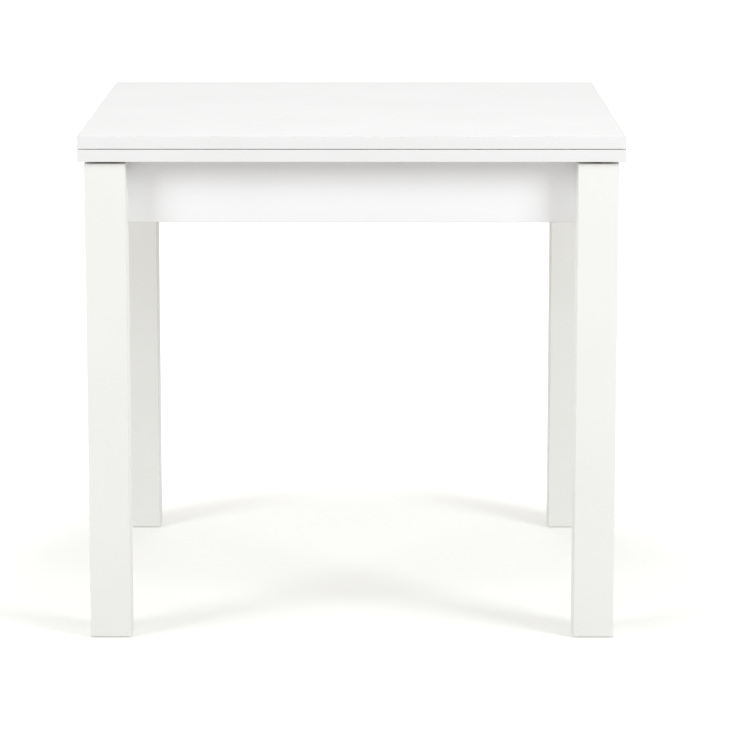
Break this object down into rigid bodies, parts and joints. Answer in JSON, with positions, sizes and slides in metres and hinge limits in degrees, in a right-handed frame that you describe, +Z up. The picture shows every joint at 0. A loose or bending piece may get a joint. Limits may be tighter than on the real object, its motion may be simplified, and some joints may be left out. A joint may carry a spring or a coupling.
{
  "type": "fold-over dining table",
  "caption": "Square white fold-over dining table: its double top swivels on an off-centre pivot and opens like a book to twice the length, on a frame with plain square legs.",
  "frame": {"origin": "on the floor, under the middle of the closed top", "axes": "+X to the right, +Y to the back, where the two boards of the top are hinged, +Z up"},
  "size_m": [0.8, 0.8028, 0.755],
  "materials": {
    "top_laminate": "white melamine on 18 mm board, satin",
    "edge_band": "white 1 mm edge banding",
    "apron_laminate": "white melamine on 18 mm board, satin",
    "leg_foil": "warm white foil wrapped round fibreboard, satin",
    "rail_wood": "plain beech, unfinished",
    "glide_plastic": "moulded plastic",
    "nylon": "moulded nylon",
    "felt": "pressed felt",
    "zinc_steel": "zinc plated",
    "hinge_steel": "nickel plated",
    "clear_rubber": "clear soft dots"
  },
  "bodies": {
    "base": {"leg_front_left": "leg_foil", "leg_front_right": "leg_foil", "leg_back_left": "leg_foil", "leg_back_right": "leg_foil", "apron_front": "apron_laminate", "apron_right": "apron_laminate", "apron_back": "apron_laminate", "apron_left": "apron_laminate", "foot_glide_front_left": "glide_plastic", "foot_glide_front_right": "glide_plastic", "foot_glide_back_left": "glide_plastic", "foot_glide_back_right": "glide_plastic", "corner_bracket_front_left": "zinc_steel", "corner_bracket_front_right": "zinc_steel", "corner_bracket_back_left": "zinc_steel", "corner_bracket_back_right": "zinc_steel", "hanger_bolt_front_left": "zinc_steel", "hanger_bolt_front_right": "zinc_steel", "hanger_bolt_back_left": "zinc_steel", "hanger_bolt_back_right": "zinc_steel", "flange_nut_front_left": "zinc_steel", "flange_nut_front_right": "zinc_steel", "flange_nut_back_left": "zinc_steel", "flange_nut_back_right": "zinc_steel", "glide_pad_front_1": "felt", "glide_pad_front_2": "felt", "glide_pad_right_1": "felt", "glide_pad_back_1": "felt", "glide_pad_back_2": "felt", "glide_pad_left_1": "felt", "pivot_rail": "rail_wood", "pivot_bush": "nylon", "stop_pin": "zinc_steel"},
    "lower_top": {"lower_board": "top_laminate", "lower_edge_band": "edge_band", "swivel_plate": "zinc_steel", "pivot_washer": "zinc_steel", "pivot_lock_nut": "zinc_steel", "plate_screw_1": "zinc_steel", "plate_screw_2": "zinc_steel", "plate_screw_3": "zinc_steel", "plate_screw_4": "zinc_steel", "hinge_lower_plate_left": "hinge_steel", "hinge_pin_left": "hinge_steel", "hinge_screw_lower_left_1": "hinge_steel", "hinge_screw_lower_left_2": "hinge_steel", "hinge_lower_plate_right": "hinge_steel", "hinge_pin_right": "hinge_steel", "hinge_screw_lower_right_1": "hinge_steel", "hinge_screw_lower_right_2": "hinge_steel"},
    "leaf": {"leaf_board": "top_laminate", "leaf_edge_band": "edge_band", "hinge_upper_plate_left": "hinge_steel", "hinge_screw_upper_left_1": "hinge_steel", "hinge_screw_upper_left_2": "hinge_steel", "bumper_left": "clear_rubber", "hinge_upper_plate_right": "hinge_steel", "hinge_screw_upper_right_1": "hinge_steel", "hinge_screw_upper_right_2": "hinge_steel", "bumper_right": "clear_rubber"}
  },
  "joints": [
    {"name": "top_swivel", "type": "hinge", "parent": "base", "child": "lower_top", "pos_m": [0.2, 0.2, 0.714], "axis": [0, 0, 1], "range_deg": [0, 90]},
    {"name": "leaf_fold", "type": "hinge", "parent": "lower_top", "child": "leaf", "pos_m": [0, 0.4005, 0.7365], "axis": [-1, 0, 0], "range_deg": [0, 180]}
  ]
}
